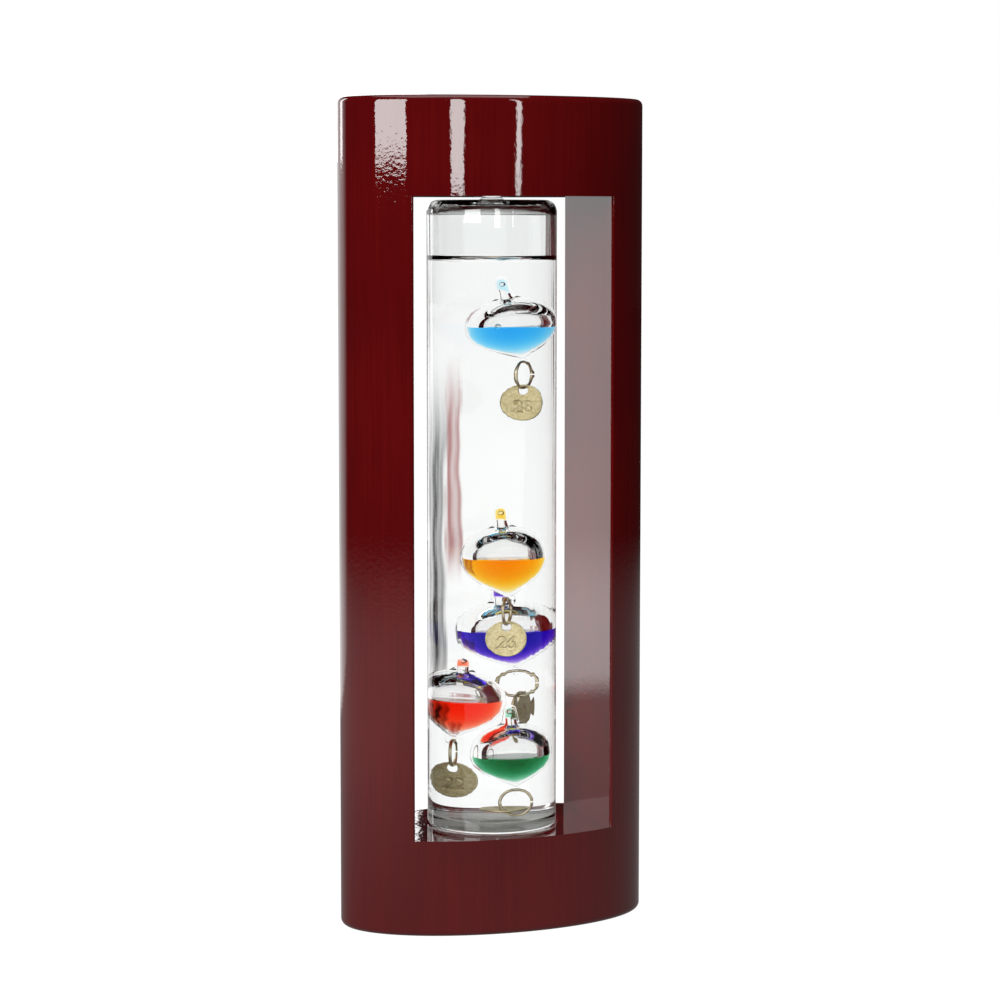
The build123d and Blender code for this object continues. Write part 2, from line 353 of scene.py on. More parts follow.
def makeTube():
    # outer profile: floor, rounded heel, side, rounded shoulder, neck, tip; the inside is a second
    # profile run the other way, so both face out of the glass
    t, steps = tube, tube["steps"]
    ceiling = t["top"] - t["topWall"]
    r, heel, shoulder, neck = t["radius"], t["heel"], t["shoulder"], t["neckRound"]
    outer = np.concatenate([
        straight((0, t["bottom"]), (r - heel, t["bottom"]), steps["floor"]),
        quarterTurn((r - heel, t["bottom"] + heel), heel, -90, 0, steps["heel"]),
        straight((r, t["bottom"] + heel), (r, t["top"] - shoulder), steps["side"]),
        quarterTurn((r - shoulder, t["top"] - shoulder), shoulder, 0, 90, steps["shoulder"]),
        straight((r - shoulder, t["top"]), (t["tipRadius"] + neck, t["top"]), steps["lid"]),
        quarterTurn((t["tipRadius"] + neck, t["top"] + neck), neck, 270, 180, steps["neck"]),
        straight((t["tipRadius"], t["top"] + neck), (t["tipRadius"], t["tipTop"] - t["tipRadius"]),
                 steps["tip"]),
        quarterTurn((0, t["tipTop"] - t["tipRadius"]), t["tipRadius"], 0, 90, steps["cap"]),
        [(0, t["tipTop"])],
    ])
    ri, low, top = t["inner"], t["innerLow"], t["innerTop"]
    wetted = t["level"] + t["meniscusRise"]
    dry = np.concatenate([
        straight((0, ceiling), (ri - top, ceiling), steps["middle"]),
        quarterTurn((ri - top, ceiling - top), top, 90, 0, steps["corner"]),
        straight((ri, ceiling - top), (ri, wetted), steps["dryWall"]),
    ])
    wet = np.concatenate([
        straight((ri, wetted), (ri, t["floor"] + low), steps["side"]),
        quarterTurn((ri - low, t["floor"] + low), low, 0, -90, steps["corner"]),
        straight((ri - low, t["floor"]), (0, t["floor"]), steps["middle"]),
        [(0, t["floor"])],
    ])
    inner = np.concatenate([dry, wet])
    outerPoints, innerPoints = revolve(outer, t["columns"]), revolve(inner, t["columns"])
    outerFaces = gridFaces(len(outer), t["columns"])
    innerFaces = gridFaces(len(inner), t["columns"], len(outer) * t["columns"])
    slots = np.zeros(len(outerFaces) + len(innerFaces), dtype=np.int32)
    slots[len(outerFaces) + len(dry) * t["columns"]:] = 1
    points = np.concatenate([outerPoints.reshape(-1, 3), innerPoints.reshape(-1, 3)])
    makePiece("glassTube", "frame", points, np.concatenate([outerFaces, innerFaces]),
              [tubeGlass, wettedTubeGlass], slots, ["glass_tube"])


def makeLiquid():
    # the oil touches the wall all round; its top is level and climbs the glass as h exp(-gap / reach)
    t, steps = tube, tube["steps"]
    ri, low, floor = t["inner"] - t["liquidGap"], t["innerLow"], t["floor"] + t["liquidGap"]
    spread = ri * (1 - np.linspace(0, 1, steps["surface"]) ** t["surfacePower"])
    climb = t["meniscusRise"] * np.exp(-(ri - spread) / t["meniscusReach"])
    top = np.stack([spread, t["level"] + climb], axis=1)
    side = np.concatenate([
        straight((0, floor), (ri - low, floor), steps["middle"]),
        quarterTurn((ri - low, floor + low), low, -90, 0, steps["corner"]),
        straight((ri, floor + low), (ri, t["level"] + t["meniscusRise"]), steps["side"]),
    ])
    profile = np.concatenate([side, top])
    faces = gridFaces(len(profile), t["columns"])
    slots = np.zeros(len(faces), dtype=np.int32)
    slots[:len(side) * t["columns"]] = 1
    makePiece("clearLiquid", "frame", revolve(profile, t["columns"]), faces,
              [liquidTop, liquidContact], slots, ["clear_liquid"])


makeTube()
makeLiquid()
print("tube and liquid made")


# ---- glass floats: onion bulbs leaned in the liquid, sizes in millimetres ----

bulbs = {
    "light_blue": dict(radius=9.8, rise=8.4, drop=8.8, nipple=6.0, lean=(1.69, -0.61), fill=-0.1),
    "yellow": dict(radius=9.8, rise=9.2, drop=10.9, nipple=5.6, lean=(0.61, -0.86), fill=-0.2),
    "dark_blue": dict(radius=9.2, rise=9.0, drop=10.2, nipple=4.5, lean=(1.65, 0.47), fill=0.2),
    "red": dict(radius=9.3, rise=9.1, drop=10.2, nipple=4.0, lean=(-0.61, 0.96), fill=0.2),
    "green": dict(radius=9.4, rise=9.4, drop=8.6, nipple=5.0, lean=(0.46, -0.49), fill=-0.3),
}
# pointWall is a multiple of the wall; searchLow (a share) and searchHigh (rows) bound the rows round the
# widest one among which the dye's level is looked for
bulbMake = {"wall": 0.9, "pointWall": 1.4, "neck": 1.7, "neckBore": 1.2, "boreTaper": 0.1, "tip": 1.35,
            "lowEnd": 0.5, "eyeMajor": 1.15, "eyeMinor": 0.45, "eyeDrop": 0.85, "eyeRows": 48,
            "eyeColumns": 20, "columns": 128, "threadRows": 14, "searchLow": 0.4, "searchHigh": 30}
dyeMake = {"shrink": 0.003, "inwardSteps": 14, "filmSteps": 26, "filmPower": 1.7, "filmThickness": 0.03,
           "filmGap": 0.012, "filmRise": 0.3, "filmReach": 0.5, "threadShare": 0.98, "threadGap": 0.01,
           "threadSteps": 8, "threadDome": 0.5, "bubble": 0.7, "bubbleGap": 0.02, "bubblePlace": 0.60,
           "sphereRows": 15, "beadLift": 0.5}
beads = {"light_blue": dict(bearing=-133, reach=8.0, radius=0.8)}      # bearing from +X, degrees
# control points as shares of the radius and of the rise, drop or nipple
onionShape = {"bowlLow": (0.52, 0.70), "bowlHigh": 0.46, "domeLow": 0.50, "domeHigh": (0.72, 0.80),
              "shoulder": (0.32, 0.93), "throat": (0.5, 0.98), "throatEnd": 0.25,
              "steps": dict(point=2, bowl=40, dome=36, throat=14, neck=6, tip=10)}


def onion(radius, rise, drop, nipple, lowEnd, neck, tip):
    # lower curve from the point to the widest level, upper curve to the shoulder, a hollow sweep into
    # the neck, and a rounded tip; returns (r, z) rows and how many lie below the widest level
    shape, steps = onionShape, onionShape["steps"]
    top = rise + nipple
    throatTop = rise + shape["throatEnd"] * nipple
    shoulder = (shape["shoulder"][0] * radius, shape["shoulder"][1] * rise)
    throat = (shape["throat"][0] * (shoulder[0] + neck), shape["throat"][1] * rise)
    bowl = np.concatenate([
        straight((0, -drop), (lowEnd, -drop), steps["point"]),
        bezier((lowEnd, -drop), (shape["bowlLow"][0] * radius, -shape["bowlLow"][1] * drop),
               (radius, -shape["bowlHigh"] * drop), (radius, 0), steps["bowl"]),
    ])
    dome = np.concatenate([
        bezier((radius, 0), (radius, shape["domeLow"] * rise),
               (shape["domeHigh"][0] * radius, shape["domeHigh"][1] * rise), shoulder, steps["dome"]),
        bezier(shoulder, throat, (neck, rise), (neck, throatTop), steps["throat"]),
        straight((neck, throatTop), (tip, top - tip), steps["neck"]),
        quarterTurn((0, top - tip), tip, 0, 90, steps["tip"]),
        [(0, top)],
    ])
    return np.concatenate([bowl, dome]), len(bowl)


def leanMatrix(row):
    # turns the bulb's own down direction to its leaning one, by the shortest way (Rodrigues' formula)
    dx, dy = row["lean"]
    down = np.array([dx, dy, -math.sqrt(row["drop"] ** 2 - dx * dx - dy * dy)]) / row["drop"]
    axis = np.cross((0, 0, -1), down)
    c = -down[2]
    k = np.array([[0, -axis[2], axis[1]], [axis[2], 0, -axis[0]], [-axis[1], axis[0], 0]])
    return np.eye(3) + k + k @ k / (1 + c)


def bulbCenter(name, row):
    # the ring's hinge is the eye's lowest bar, and the bulb stands above it
    bar = np.array(joints[name + "_ring_swing"]["pos_m"])
    dx, dy = row["lean"]
    up = math.sqrt(row["drop"] ** 2 - dx * dx - dy * dy) + bulbMake["eyeDrop"] + bulbMake["eyeMajor"]
    return bar + np.array([-dx, -dy, up]) * mm


def placed(points, name, row):
    # a bulb's own points, in millimetres, leaned and moved to where it stands
    return points.reshape(-1, 3) @ leanMatrix(row).T * mm + bulbCenter(name, row)


def levelled(profile, split, row):
    # slides the rows along each meridian so that row number split lies in the level plane: on every
    # meridian the height is a rising function of the profile, so the crossing is found by interpolation
    columns = bulbMake["columns"]
    a = np.linspace(0, 2 * np.pi, columns, endpoint=False)
    tilt = leanMatrix(row)[2]
    length = np.arange(len(profile), dtype=float)
    r, z = profile[:, 0], profile[:, 1]
    height = tilt[0] * r[:, None] * np.cos(a) + tilt[1] * r[:, None] * np.sin(a) + tilt[2] * z[:, None]
    near = slice(int(split * bulbMake["searchLow"]), split + bulbMake["searchHigh"])
    crossing = np.array([np.interp(row["fill"], height[near, i], length[near]) for i in range(columns)])
    low = length[:split + 1, None] / split * crossing
    last = len(profile) - 1
    high = crossing + (length[split + 1:, None] - split) / (last - split) * (last - crossing)
    place = np.concatenate([low, high])
    rr, zz = np.interp(place, length, r), np.interp(place, length, z)
    return np.stack([rr * np.cos(a), rr * np.sin(a), zz], axis=-1)


def torusPoints(major, minor, rows, columns):
    # ring in the XZ plane: r = major + minor cos b round the wire; x = r cos a, y = minor sin b, z = r sin a
    a = np.linspace(0, 2 * np.pi, rows, endpoint=False)[:, None]
    b = np.linspace(0, 2 * np.pi, columns, endpoint=False)[None, :]
    r = major + minor * np.cos(b)
    return np.stack([r * np.cos(a), minor * np.sin(b) + 0 * a, r * np.sin(a)], axis=-1)


def makeBulb(name):
    # outer and inner onions, leaned alike, and the eye: bar + x across + y along + z up of a torus
    row, make = bulbs[name], bulbMake
    columns = make["columns"]
    outer, _ = onion(row["radius"], row["rise"], row["drop"], row["nipple"], make["lowEnd"], make["neck"],
                     make["tip"])
    inner, split = onion(row["radius"] - make["wall"], row["rise"] - make["wall"],
                         row["drop"] - make["pointWall"] * make["wall"], row["nipple"], make["lowEnd"],
                         make["neckBore"], make["neckBore"] - make["boreTaper"])
    outerPoints = placed(revolve(outer, columns), name, row)
    hollow = levelled(inner, split, row)
    innerPoints = placed(hollow, name, row)
    outerFaces = gridFaces(len(outer), columns)
    innerFaces = gridFaces(len(inner), columns, len(outerPoints))[:, ::-1]
    # the eye stands square to the ring that hangs in it
    across = np.array(joints[name + "_ring_swing"]["axis"])
    along = np.cross(across, (0, 0, 1))
    bar = np.array(joints[name + "_ring_swing"]["pos_m"])
    eye = torusPoints(make["eyeMajor"], make["eyeMinor"], make["eyeRows"], make["eyeColumns"])
    eye = eye.reshape(-1, 3) * mm
    eyeFoot = bar + (0, 0, make["eyeMajor"] * mm)
    eyePoints = eyeFoot + eye[:, :1] * across + eye[:, 1:2] * along + eye[:, 2:] * (0, 0, 1)
    eyeFaces = gridFaces(make["eyeRows"], make["eyeColumns"], len(outerPoints) + len(innerPoints),
                         closedRows=True)[:, ::-1]
    points = np.concatenate([outerPoints, innerPoints, eyePoints])
    slots = np.zeros(len(outerFaces) + len(innerFaces) + len(eyeFaces), dtype=np.int32)
    start = len(outerFaces)
    rowsUp = len(inner) - 1
    threadRow = rowsUp - make["threadRows"]
    slots[start:start + split * columns] = 2
    slots[start + split * columns:start + threadRow * columns] = 1
    slots[start + threadRow * columns:start + rowsUp * columns] = 2
    makePiece(name + "_glass", name + "_float", points, np.concatenate([outerFaces, innerFaces, eyeFaces]),
              [bulbGlass, bulbAirWall, liquidContact], slots, [name + "_bulb"])
    makeDye(name, row, hollow, split, threadRow)


def sphere(center, radius, rows, columns):
    # latitude rows from the south pole up: r = R cos t, z = R sin t
    t = np.radians(np.linspace(-90, 90, rows))
    return revolve(np.stack([radius * np.cos(t), radius * np.sin(t)], axis=1), columns) + np.array(center)


def makeDye(name, row, hollow, split, threadRow):
    # pool: the hollow's rows up to the level one, then that row drawn in to its middle, all shrunk a
    # hair off the glass; film: the free surface, lifted at the wall by rise exp(-gap / reach);
    # thread: the hollow's last rows with a domed underside and an air bubble in it
    make, columns = dyeMake, bulbMake["columns"]
    rim = placed(hollow[split], name, row)
    middle = rim.mean(axis=0)
    pool = placed(hollow[:split + 1], name, row).reshape(split + 1, columns, 3)
    pool = middle + (pool - middle) * (1 - make["shrink"])
    inward = np.linspace(1, 0, make["inwardSteps"])[1:, None, None]
    poolPoints = np.concatenate([pool, middle + (pool[-1] - middle) * inward])
    s = (1 - np.linspace(0, 1, make["filmSteps"]) ** make["filmPower"])[:, None, None]
    flat = middle + (rim - middle) * s * (1 - make["shrink"])
    lift = make["filmRise"] * np.exp(-(1 - s) * row["radius"] / make["filmReach"]) + make["filmThickness"]
    film = np.concatenate([(flat + np.array([0, 0, make["filmGap"] * mm]))[::-1],
                           flat + lift * np.array([0, 0, mm])])
    share = make["threadShare"]
    thread = hollow[threadRow:] * (share, share, 1) - (0, 0, make["threadGap"])
    low = thread[0].mean(axis=0)
    draw = np.linspace(0, 1, make["threadSteps"])[:-1, None, None]
    under = low + (thread[0] - low) * draw + np.array([0, 0, make["threadDome"]]) * (1 - draw ** 2)
    bubbleCenter = (0, 0, row["rise"] + row["nipple"] * make["bubblePlace"])
    rows, bubble = make["sphereRows"], make["bubble"]
    shells = [
        (poolPoints, 0, False),
        (film, 1, False),
        (placed(np.concatenate([under, thread]), name, row), 3, False),
        (placed(sphere(bubbleCenter, bubble + make["bubbleGap"], rows, columns), name, row), 3, True),
        (placed(sphere(bubbleCenter, bubble, rows, columns), name, row), 4, True),
    ]
    if name in beads:
        bead = beads[name]
        turn = math.radians(bead["bearing"])
        spot = middle / mm + np.array([math.cos(turn), math.sin(turn), 0]) * bead["reach"]
        spot = spot + (0, 0, bead["radius"] * make["beadLift"])
        shells.append((sphere(spot, bead["radius"], rows, columns).reshape(-1, 3) * mm, 1, False))
    points, faces, slots, start = [], [], [], 0
    for shell, slot, turned in shells:
        shellRows = shell.reshape(-1, 3).shape[0] // columns
        quads = gridFaces(shellRows, columns, start)
        faces.append(quads[:, ::-1] if turned else quads)
        rowSlots = np.full(len(quads), slot, dtype=np.int32)
        if slot == 1 and shellRows > rows:
            rowSlots[:make["filmSteps"] * columns] = 2     # the film's underside lies on the pool
        slots.append(rowSlots)
        points.append(shell.reshape(-1, 3))
        start += shellRows * columns
    makePiece(name + "_liquid", name + "_float", np.concatenate(points), np.concatenate(faces),
              [dyes[name], dyeTop, liquidContact, threads[name], bubbleWall], np.concatenate(slots),
              [name + "_dye"])


for name in floatNames:
    makeBulb(name)
print("floats made")


# ---- stamped tags ----

tagMake = {"radius": 5.0, "thickness": 0.45, "hole": 1.15, "holeOffset": 3.35, "hang": 4.075,
           "stroke": 0.28,
           "depth": 0.14, "height": 3.0, "pitch": 0.744, "numberDrop": -1.1, "rimRoll": 0.05, "bevel": 0.06,
           "pressStart": 0.6, "pressWidth": 0.8, "rimInset": 0.3, "rimWidth": 0.25, "frontLimit": -0.2,
           "rows": 84, "columns": 300}
tags = {
    "light_blue": dict(front="28", back="82", slant=0.0, flat=False),
    "yellow": dict(front="26", back="79", slant=0.0, flat=False),
    "dark_blue": dict(front="24", back="75", slant=20.0, flat=False),
    "red": dict(front="22", back="72", slant=0.0, flat=False),
    "green": dict(front="20", back="68", slant=0.0, flat=True),
}
# figures in a box 0.6 wide and 1 high: lines as x0, y0, x1, y1 and arcs as centre, radius, start, end
figures = {
    "0": dict(lines=[(-.28, .28, -.28, .72), (.28, .28, .28, .72)], arcs=[(0, .72, .28, 0, 180), (0, .28,
                                                                                                  .28, 180,
                                                                                                  360)]),
    "2": dict(lines=[(.25, .60, -.28, 0), (-.28, 0, .30, 0)], arcs=[(0, .72, .28, -25, 170)]),
    "4": dict(lines=[(.12, 0, .12, 1), (.12, 1, -.3, .3), (-.3, .3, .3, .3)], arcs=[]),
    "5": dict(lines=[(.26, 1, -.22, 1), (-.22, 1, -.25, .56)], arcs=[(-.02, .31, .31, -140, 130)]),
    "6": dict(lines=[(-.26, .38, .14, 1)], arcs=[(0, .28, .28, 0, 360)]),
    "7": dict(lines=[(-.28, 1, .28, 1), (.28, 1, -.08, 0)], arcs=[]),
    "8": dict(lines=[], arcs=[(0, .75, .23, 0, 360), (0, .27, .27, 0, 360)]),
    "9": dict(lines=[(.26, .62, -.14, 0)], arcs=[(0, .72, .28, 0, 360)]),
}


def strokeDistance(x, y, text):
    # shortest way from each point to any line or arc of the figures
    best = np.full(x.shape, np.inf)
    for i, figure in enumerate(text):
        u = x / tagMake["height"] - (i - 0.5) * tagMake["pitch"]
        v = (y - tagMake["numberDrop"]) / tagMake["height"] + 0.5
        for x0, y0, x1, y1 in figures[figure]["lines"]:
            along = ((u - x0) * (x1 - x0) + (v - y0) * (y1 - y0)) / ((x1 - x0) ** 2 + (y1 - y0) ** 2)
            t = np.clip(along, 0, 1)
            best = np.minimum(best, np.hypot(u - x0 - t * (x1 - x0), v - y0 - t * (y1 - y0)))
        for cx, cy, radius, start, end in figures[figure]["arcs"]:
            turn = (np.degrees(np.arctan2(v - cy, u - cx)) - start) % 360
            ring = np.abs(np.hypot(u - cx, v - cy) - radius)
            corners = [(cx + radius * math.cos(math.radians(a)), cy + radius * math.sin(math.radians(a)))
                       for a in (start, end)]
            ends = [np.hypot(u - x0, v - y0) for x0, y0 in corners]
            best = np.minimum(best, np.where(turn <= end - start, ring, np.minimum(*ends)))
    return best * tagMake["height"]


def tagFace(text):
    # flat face between the hole's edge and the rim, pressed down along the figures by a smooth step:
    # point = hole's edge (1 - v) + rim v, height = half thickness - depth press + roll edge squared
    make = tagMake
    a = np.linspace(0, 2 * np.pi, make["columns"], endpoint=False)[None, :]
    v = np.linspace(0, 1, make["rows"])[:, None]
    hole, rim = make["hole"] + make["bevel"], make["radius"] - make["bevel"]
    x = (1 - v) * hole * np.cos(a) + v * rim * np.cos(a)
    y = (1 - v) * (make["holeOffset"] + hole * np.sin(a)) + v * rim * np.sin(a)
    away = strokeDistance(x, y, text) / make["stroke"]
    press = 1 - softStep((away - make["pressStart"]) / make["pressWidth"])
    edge = np.clip(1 - np.abs(make["radius"] - make["rimInset"] - np.hypot(x, y)) / make["rimWidth"], 0, 1)
    z = make["thickness"] / 2 - make["depth"] * press + make["rimRoll"] * edge ** 2
    return np.stack([x, y, z], axis=-1)


def edgeLoop(radius, offset, height):
    # circle of the rim or the hole: x = r cos a, y = offset + r sin a, at one height
    a = np.linspace(0, 2 * np.pi, tagMake["columns"], endpoint=False)
    return np.stack([radius * np.cos(a), offset + radius * np.sin(a), height + 0 * a], axis=-1)


def makeTag(name):
    # front face, rim, back face and hole are one closed loop of rows, set on the tag's own axes:
    # wire + x width + y up + z face
    row, make = tags[name], tagMake
    frontFace = tagFace(row["front"])
    backFace = tagFace(row["back"])[::-1] * (1, 1, -1)
    half = make["thickness"] / 2 - make["bevel"]
    rim = np.stack([edgeLoop(make["radius"], 0, s * half) for s in (1, -1)])
    hole = np.stack([edgeLoop(make["hole"], make["holeOffset"], s * half) for s in (-1, 1)])
    loop = np.concatenate([frontFace, rim, backFace, hole])
    faces = gridFaces(len(loop), make["columns"], closedRows=True)[:, ::-1]
    wire = np.array(joints[name + "_tag_swing"]["pos_m"])
    normal = np.array(joints[name + "_tag_swing"]["axis"])
    side = np.cross((0, 0, 1), normal)
    if row["flat"]:
        up = -side
        face = np.array((0, 0, 1.0))
        shift = np.array((0, -make["holeOffset"], 0))
    else:
        slant = math.radians(row["slant"])
        up = np.array((0, 0, 1)) * math.cos(slant) - side * math.sin(slant)
        face = -normal if normal[1] > make["frontLimit"] else normal
        shift = np.array((0, -make["hang"], 0))
    width = np.cross(up, face)
    local = (loop.reshape(-1, 3) + shift) * mm
    world = wire + local[:, :1] * width + local[:, 1:2] * up + local[:, 2:] * face
    makePiece(name + "_disc", name + "_weight_tag", world, faces, [tagMetal], None, [name + "_tag"])


for name in floatNames:
    makeTag(name)
print("tags made")


# ---- stage, lights and camera ----

def rayKinds(tree):
    # Cycles counts a sharp transmission as glossy too, so gloss alone is glossy less transmission
    path = addNode(tree, "ShaderNodeLightPath")
    gloss = addNode(tree, "ShaderNodeMath", operation="SUBTRACT", use_clamp=True,
                    links={0: path.outputs["Is Glossy Ray"], 1: path.outputs["Is Transmission Ray"]})
    return path, gloss.outputs[0]


stageLook = {"size": 6.0, "shadow": 0.08, "seen": 1.08, "diffuse": 0.25, "frontSeen": 0.7,
             "glassFront": -0.6,
             "glassBack": 0.85, "frontGloss": 0.02, "backGloss": 1.2, "wallEdge": 0.84, "wallFull": 0.985,
             "paperGloss": 0.26, "paperLeft": 0.55, "sideFrom": -0.35, "sideTo": 0.05, "paperNear": 0.55,
             "paperFar": 1.1, "farGloss": 0.05, "backStart": 0.34, "backFade": 0.08}


def mapRange(tree, value, low, high, lowValue, highValue):
    # smooth step of a value between two levels
    node = addNode(tree, "ShaderNodeMapRange", links={"Value": value}, interpolation_type="SMOOTHSTEP")
    for key, level in (("From Min", low), ("From Max", high), ("To Min", lowValue), ("To Max", highValue)):
        node.inputs[key].default_value = level
    return node.outputs[0]


backWay = (-0.338, 0.941, 0.0)      # towards the bright wall


def towardsBack(tree, vector):
    # cosine to the bright wall's direction, as a soft disc of light
    look = stageLook
    unit = addNode(tree, "ShaderNodeVectorMath", operation="NORMALIZE", links={0: vector})
    cosine = addNode(tree, "ShaderNodeVectorMath", operation="DOT_PRODUCT", links={0: unit.outputs[0]})
    cosine.inputs[1].default_value = backWay
    return mapRange(tree, cosine.outputs["Value"], look["wallEdge"], look["wallFull"], 0.0,
                    look["backGloss"])


def makeStage():
    # pale seamless paper: bright by itself with a small share of real shading for the contact shadow
    bpy.ops.mesh.primitive_circle_add(vertices=96, radius=stageLook["size"], fill_type="NGON", location=(0,
                                                                                                         0,
                                                                                                         0))
    floor = bpy.context.object
    floor.name = "paleFloor"
    material, tree = newMaterial("palePaper")
    path, gloss = rayKinds(tree)
    look = stageLook
    place = addNode(tree, "ShaderNodeTexCoord")
    axes = addNode(tree, "ShaderNodeSeparateXYZ", links={"Vector": place.outputs["Object"]})
    reach = addNode(tree, "ShaderNodeVectorMath", operation="LENGTH", links={0: place.outputs["Object"]})
    # what gloss sees of the paper is painted light, glowing by itself: lit near the object, more so on its
    # left, dark further out in front, and bright behind, as a painted reflection of a bright wall
    side = mapRange(tree, axes.outputs["X"], look["sideFrom"], look["sideTo"], look["paperLeft"],
                    look["paperGloss"])
    fade = mapRange(tree, reach.outputs["Value"], look["paperNear"], look["paperFar"], 1.0,
                    look["farGloss"])
    front = addNode(tree, "ShaderNodeMath", operation="MULTIPLY", links={0: side, 1: fade})
    far = mapRange(tree, axes.outputs["Y"], look["backStart"], look["backStart"] + look["backFade"], 0.0,
                   1.0)
    wall = towardsBack(tree, place.outputs["Object"])
    behind = addNode(tree, "ShaderNodeMath", operation="MULTIPLY", links={0: far, 1: wall})
    glossy = addNode(tree, "ShaderNodeMath", operation="ADD", links={0: front.outputs[0],
                                                                     1: behind.outputs[0]})
    paper = addNode(tree, "ShaderNodeBsdfDiffuse", Color=(0.9, 0.9, 0.9, 1))
    glow = addNode(tree, "ShaderNodeEmission", Color=(1, 1, 1, 1), Strength=look["seen"])
    soft = addNode(tree, "ShaderNodeEmission", Color=(1, 1, 1, 1), Strength=look["diffuse"])
    # emission seen by gloss alone: the painted reflections of lit paper and a bright wall
    dim = addNode(tree, "ShaderNodeEmission", Color=(1, 1, 1, 1), links={"Strength": glossy.outputs[0]})
    seen = addNode(tree, "ShaderNodeMixShader", links={1: glow.outputs[0], 2: paper.outputs[0]})
    seen.inputs[0].default_value = look["shadow"]
    scattered = addNode(tree, "ShaderNodeMixShader", links={0: path.outputs["Is Diffuse Ray"],
                                                            1: seen.outputs[0],
                                                            2: soft.outputs[0]})
    mix = addNode(tree, "ShaderNodeMixShader", links={0: gloss, 1: scattered.outputs[0], 2: dim.outputs[0]})
    finishMaterial(tree, mix.outputs[0])
    material.cycles.emission_sampling = "NONE"     # so that each kind of ray sees its own paper
    floor.data.materials.append(material)


def makeWorld():
    # a white surround for the eye; through glass its front is dimmer; gloss sees a dark room with a
    # bright wall behind the object
    world = bpy.data.worlds.new("softStudio")
    bpy.context.scene.world = world
    world.use_nodes = True
    tree = world.node_tree
    tree.nodes.clear()
    place = addNode(tree, "ShaderNodeTexCoord")
    axes = addNode(tree, "ShaderNodeSeparateXYZ", links={"Vector": place.outputs["Generated"]})
    path, gloss = rayKinds(tree)
    look = stageLook
    wall = towardsBack(tree, place.outputs["Generated"])
    glossLevel = addNode(tree, "ShaderNodeMath", operation="ADD", links={0: wall}).outputs[0]
    glossLevel.node.inputs[1].default_value = look["frontGloss"]
    glassLevel = mapRange(tree, axes.outputs["Y"], look["glassFront"], look["glassBack"], look["frontSeen"],
                          1.0)
    white = (1, 1, 1, 1)
    forGloss = addNode(tree, "ShaderNodeBackground", Color=white, links={"Strength": glossLevel})
    forGlass = addNode(tree, "ShaderNodeBackground", Color=white, links={"Strength": glassLevel})
    forDiffuse = addNode(tree, "ShaderNodeBackground", Color=white, Strength=look["diffuse"])
    surface = addNode(tree, "ShaderNodeBackground", Color=white, Strength=1.0).outputs[0]
    for factor, shader in ((path.outputs["Is Diffuse Ray"], forDiffuse),
                           (path.outputs["Is Transmission Ray"], forGlass),
                           (gloss, forGloss)):
        surface = addNode(tree, "ShaderNodeMixShader", links={0: factor, 1: surface,
                                                              2: shader.outputs[0]}).outputs[0]
    addNode(tree, "ShaderNodeOutputWorld", links={"Surface": surface})
    world.cycles.sampling_method = "NONE"


# soft dark and rosy shapes beside the paper, seen only through the glass: glowing sheets of painted shade
# (dark) and a painted rosy reflection (rosy); bearing from straight behind (degrees, + to the right),
# distance and heights in metres, streaks across
paintedShadeAndReflectionCards = {
    "paintedShadeCard": dict(start=45, end=86, distance=0.36, foot=-0.004, top=0.142, streaks=3, color="#101012"),
    "paintedRosyReflectionCard": dict(start=34, end=49, distance=0.36, foot=0.050, top=0.146, streaks=2, color="#B88484"),
}
# wave and tremble are a size, a number of turns in radians over the height, and a start; fades are
# shares of the card's width or height
cardMake = {"columns": 80, "rows": 60, "floorGap": 0.001, "wave": (0.05, 9, 0), "tremble": (0.03, 31, 2),
            "tintMiddle": 0.78, "tintSwing": 0.22, "sideFade": 0.22, "footFade": 0.2, "topFade": 0.35}


def makePaintedShadeAndReflectionCards():
    # upright arc x = d sin a, y = d cos a; its tint (the strength of the card's painted glow: shade on the
    # dark card, reflection on the rosy one) fades out at every edge and runs in upright streaks
    make = cardMake
    columns, rows = make["columns"], make["rows"]
    for name, row in paintedShadeAndReflectionCards.items():
        across = np.linspace(0, 1, columns)[None, :]
        up = np.linspace(0, 1, rows)[:, None]
        a = np.radians(row["start"] + (row["end"] - row["start"]) * across) + 0 * up
        z = np.maximum(row["foot"] + (row["top"] - row["foot"]) * up + 0 * across, make["floorGap"])
        points = np.stack([row["distance"] * np.sin(a), row["distance"] * np.cos(a), z], axis=-1)
        wander = sum(size * np.sin(turns * up + start) for size, turns, start in (make["wave"],
                                                                                  make["tremble"]))
        turns = 2 * np.pi * row["streaks"] * (across + wander)
        streak = make["tintMiddle"] + make["tintSwing"] * np.sin(turns)
        sides = (softStep((across + wander) / make["sideFade"])
                 * softStep((1 - across + wander) / make["sideFade"]))
        tint = sides * softStep(up / make["footFade"]) * softStep((1 - up) / make["topFade"]) * streak
        r, c = np.arange(rows - 1)[:, None], np.arange(columns - 1)[None, :]
        corner = r * columns + c
        quads = np.stack([corner, corner + 1, corner + columns + 1, corner + columns], axis=-1).reshape(-1,
                                                                                                        4)
        mesh = bpy.data.meshes.new(name)
        mesh.from_pydata(points.reshape(-1, 3), [], quads)
        mesh.attributes.new("tint", "FLOAT", "POINT").data.foreach_set("value", tint.ravel())
        material, tree = newMaterial(name + "Paint")
        mask = addNode(tree, "ShaderNodeAttribute", attribute_name="tint")
        clear = addNode(tree, "ShaderNodeBsdfTransparent", Color=(1, 1, 1, 1))
        # the glow is painted: near-black painted shade on the dark card, a painted rosy reflection on the
        # other
        glow = addNode(tree, "ShaderNodeEmission", Color=linear(row["color"]), Strength=1.0)
        mix = addNode(tree, "ShaderNodeMixShader", links={0: mask.outputs["Fac"], 1: clear.outputs[0],
                                                          2: glow.outputs[0]})
        finishMaterial(tree, mix.outputs[0])
        material.cycles.emission_sampling = "NONE"
        mesh.materials.append(material)
        card = bpy.data.objects.new(name, mesh)
        bpy.context.scene.collection.objects.link(card)
        for kind in ("camera", "glossy", "shadow", "diffuse"):
            setattr(card, "visible_" + kind, False)


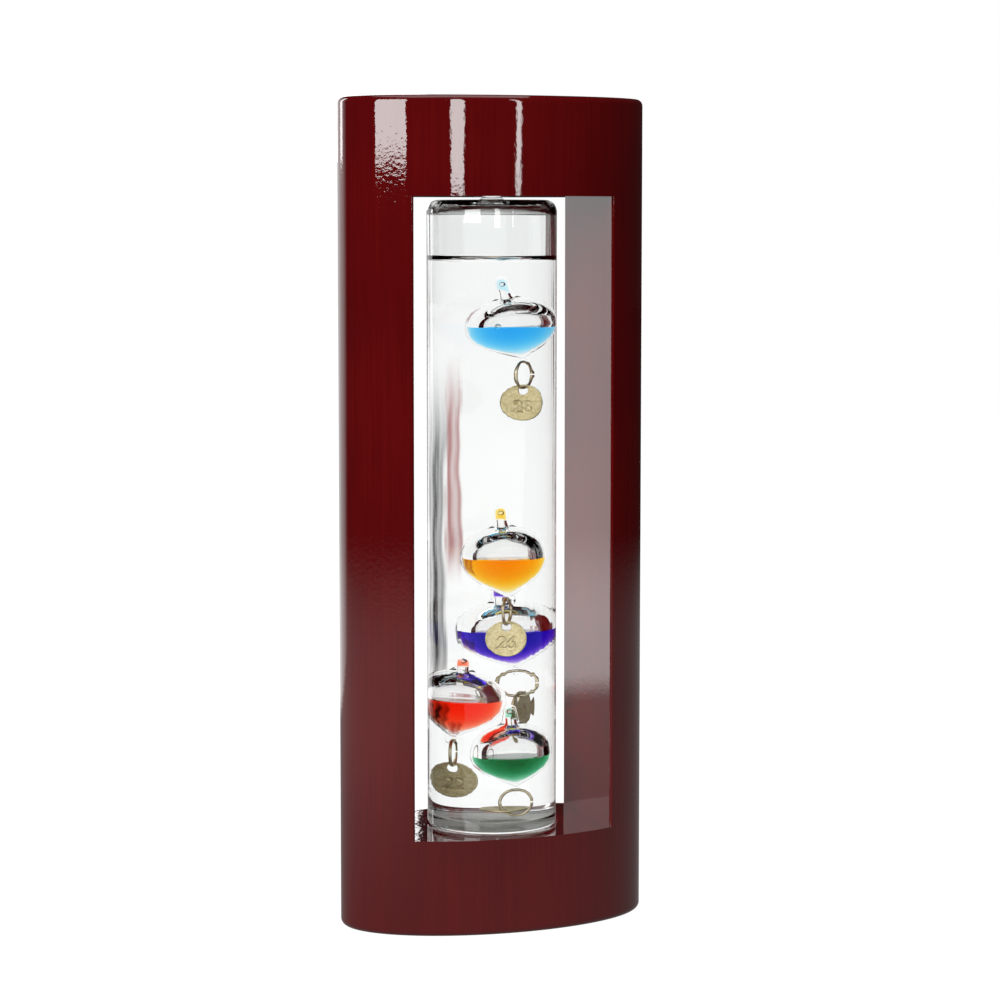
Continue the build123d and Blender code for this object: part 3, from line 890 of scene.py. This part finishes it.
# softboxes: bearing from the front (degrees, + to the right), distance and size in metres, height of the
# lower edge, and brightness of the panel
softboxes = {
    "windowLeft": dict(bearing=-54, distance=2.0, width=1.05, height=1.2, foot=0.25, glow=11),
    "stripMiddle": dict(bearing=-9, distance=2.0, width=0.22, height=1.2, foot=0.215, glow=11),
    "stripRight": dict(bearing=18.6, distance=2.0, width=0.075, height=1.2, foot=0.215, glow=11),
    "backLeft": dict(bearing=-150, distance=2.0, width=0.4, height=1.2, foot=0.25, glow=5),
    "backRight": dict(bearing=168, distance=2.0, width=0.4, height=1.2, foot=0.25, glow=3),
}


topLight = {"size": 1.2, "energy": 8, "height": 1.7}


def makeLights():
    for name, row in softboxes.items():
        lamp = bpy.data.lights.new(name, "AREA")
        lamp.shape = "RECTANGLE"
        lamp.size = row["width"]
        lamp.size_y = row["height"]
        lamp.energy = row["glow"] * math.pi * row["width"] * row["height"]
        holder = bpy.data.objects.new(name, lamp)
        bpy.context.scene.collection.objects.link(holder)
        turn = math.radians(row["bearing"])
        holder.visible_transmission = False     # the boxes stay out of what the glass shows
        holder.location = (row["distance"] * math.sin(turn), -row["distance"] * math.cos(turn),
                           row["foot"] + row["height"] / 2)
        holder.rotation_euler = (math.radians(90), 0, turn)
    top = bpy.data.lights.new("softTop", "AREA")
    top.size = topLight["size"]
    top.energy = topLight["energy"]
    holder = bpy.data.objects.new("softTop", top)
    bpy.context.scene.collection.objects.link(holder)
    holder.location = (0, 0, topLight["height"])


cameraPlace = {"bearing": -19.75, "distance": 0.8336, "height": 0.1964, "dip": 5.35, "lens": 107.56,
               "shift": 0.0083}


def makeCamera():
    row = cameraPlace
    turn = math.radians(row["bearing"])
    data = bpy.data.cameras.new("camera")
    data.lens = row["lens"]
    data.shift_x = row["shift"]
    camera = bpy.data.objects.new("camera", data)
    bpy.context.scene.collection.objects.link(camera)
    camera.location = (row["distance"] * math.sin(turn), -row["distance"] * math.cos(turn), row["height"])
    camera.rotation_euler = (math.radians(90 - row["dip"]), 0, turn)
    bpy.context.scene.camera = camera


makeStage()
makeWorld()
makePaintedShadeAndReflectionCards()
makeLights()
makeCamera()
scene = bpy.context.scene
scene.view_settings.view_transform = "Standard"
scene.cycles.max_bounces = 40               # a line of sight crosses up to a dozen glass and liquid walls
scene.cycles.transmission_bounces = 40
scene.cycles.transparent_max_bounces = 32
print("stage, lights and camera set")
